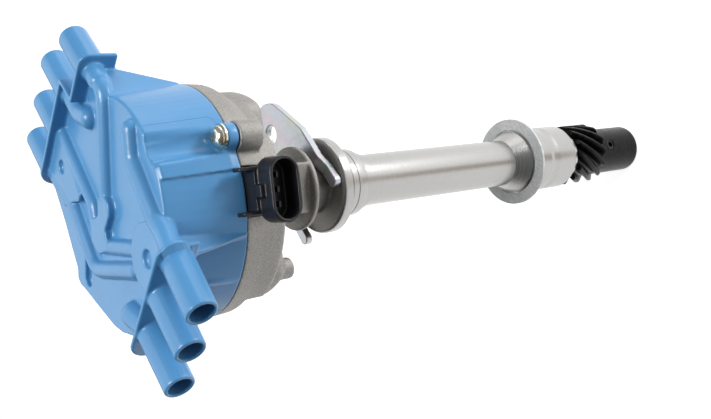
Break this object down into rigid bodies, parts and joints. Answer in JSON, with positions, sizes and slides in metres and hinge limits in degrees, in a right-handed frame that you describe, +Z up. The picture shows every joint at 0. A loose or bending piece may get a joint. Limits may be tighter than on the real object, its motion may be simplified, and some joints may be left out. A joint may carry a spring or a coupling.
{
  "type": "ignition distributor",
  "caption": "Engine ignition distributor with side-exit tower cap, cast housing, position sensor connector, hold-down clamp, gasket and helical drive gear.",
  "frame": {"origin": "shaft axis at the underside of the mounting flange", "axes": "+Z up the shaft axis towards the cap, +X towards the row of four towers"},
  "size_m": [0.1418, 0.1029, 0.3163],
  "materials": {
    "cast_aluminium": "satin",
    "cap_plastic": "gloss",
    "connector_plastic": "satin",
    "rotor_plastic": "satin",
    "zinc_screw": "bright",
    "clamp_zinc": "zinc plated",
    "shaft_steel": "ground",
    "black_oxide": "satin black oxide",
    "bronze": "sintered",
    "brass": "bright",
    "fibre": "matte",
    "seal_rubber": "matte",
    "carbon": "matte"
  },
  "bodies": {
    "distributor": {"housing": "cast_aluminium", "upper_bushing": "bronze", "lower_bushing": "bronze", "oil_seal": "seal_rubber", "floor_thrust_washer": "shaft_steel", "vent_screens": "shaft_steel", "distributor_cap": "cap_plastic", "coil_terminal": "brass", "plug_terminals": "brass", "contact_posts": "brass", "cap_screws": "zinc_screw", "cap_washers": "zinc_screw", "sensor_body": "connector_plastic", "sensor_magnet": "shaft_steel", "sensor_screws": "zinc_screw", "connector_pins": "shaft_steel", "brush_spring": "shaft_steel"},
    "shaft_assembly": {"main_shaft": "shaft_steel", "shutter_wheel": "shaft_steel", "rotor_body": "rotor_plastic", "rotor_blade": "brass", "rotor_screws": "zinc_screw", "gear_thrust_washer": "shaft_steel", "wave_washer": "shaft_steel", "gear_shim": "shaft_steel", "drive_gear": "black_oxide", "gear_roll_pin": "shaft_steel"},
    "clamp": {"hold_down_clamp": "clamp_zinc"},
    "gasket": {"base_gasket": "fibre"},
    "brush": {"carbon_brush": "carbon"}
  },
  "joints": [
    {"name": "shaft_spin", "type": "hinge", "parent": "distributor", "child": "shaft_assembly", "pos_m": [0, 0, 0], "axis": [0, 0, 1], "continuous": true},
    {"name": "clamp_swivel", "type": "hinge", "parent": "distributor", "child": "clamp", "pos_m": [0, 0, 0], "axis": [0, 0, 1], "continuous": true},
    {"name": "gasket_slide", "type": "slide", "parent": "distributor", "child": "gasket", "axis": [0, 0, 1], "range_m": [0, 0.1184]},
    {"name": "brush_travel", "type": "slide", "parent": "distributor", "child": "brush", "axis": [0, 0, 1], "range_m": [0, 0.0018], "stiffness_N_per_m": 150, "springref_m": -0.003, "deforming": ["brush_spring"]}
  ]
}
